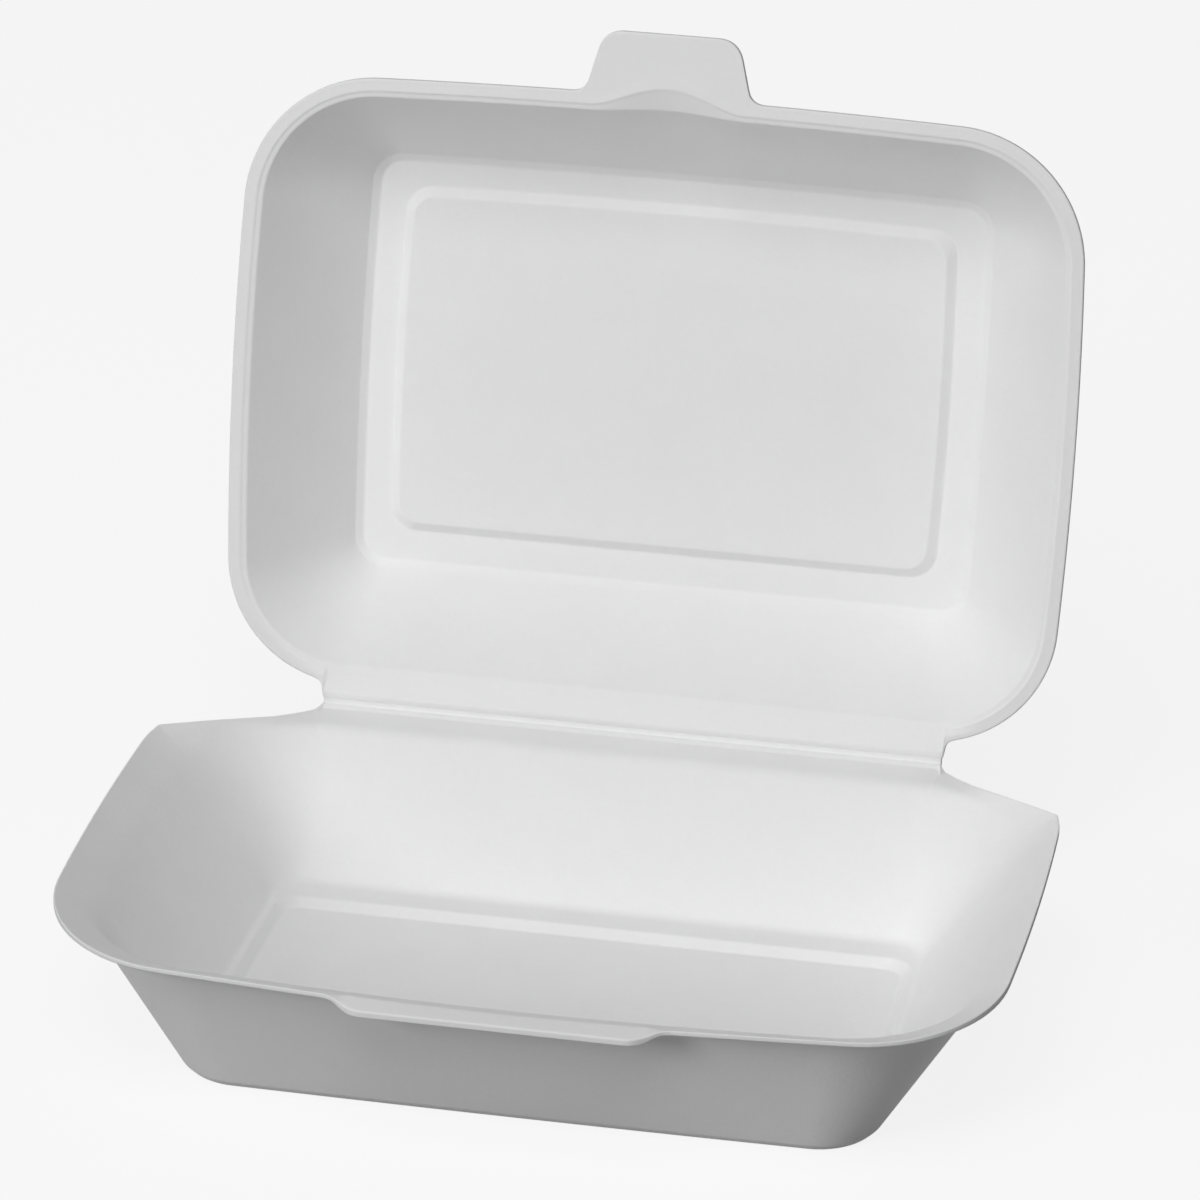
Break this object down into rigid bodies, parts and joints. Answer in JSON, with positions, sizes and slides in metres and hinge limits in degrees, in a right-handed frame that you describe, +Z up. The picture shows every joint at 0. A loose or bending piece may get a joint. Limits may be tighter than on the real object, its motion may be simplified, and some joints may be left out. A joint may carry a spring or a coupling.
{
  "type": "foam clamshell container",
  "caption": "White foam food box: a rectangular tub with flared rim and ledged floor, and a domed lid with front tab that folds over it along the back edge.",
  "frame": {"origin": "centre of the base's flat underside, on the surface it stands on", "axes": "+X along the fold, to the right seen from the front; +Y from the front edge to the fold; +Z up"},
  "size_m": [0.1904, 0.1869, 0.1743],
  "materials": {
    "base_foam": "matt white expanded polystyrene sheet, faint bead texture",
    "lid_foam": "matt white expanded polystyrene sheet, faint bead texture"
  },
  "bodies": {
    "base": {"base": "base_foam"},
    "lid": {"lid": "lid_foam"}
  },
  "joints": [
    {"name": "lid_hinge", "type": "hinge", "parent": "base", "child": "lid", "pos_m": [0, 0.0678, 0.0329], "axis": [-1, 0, 0], "range_deg": [-95, 77.4]}
  ]
}
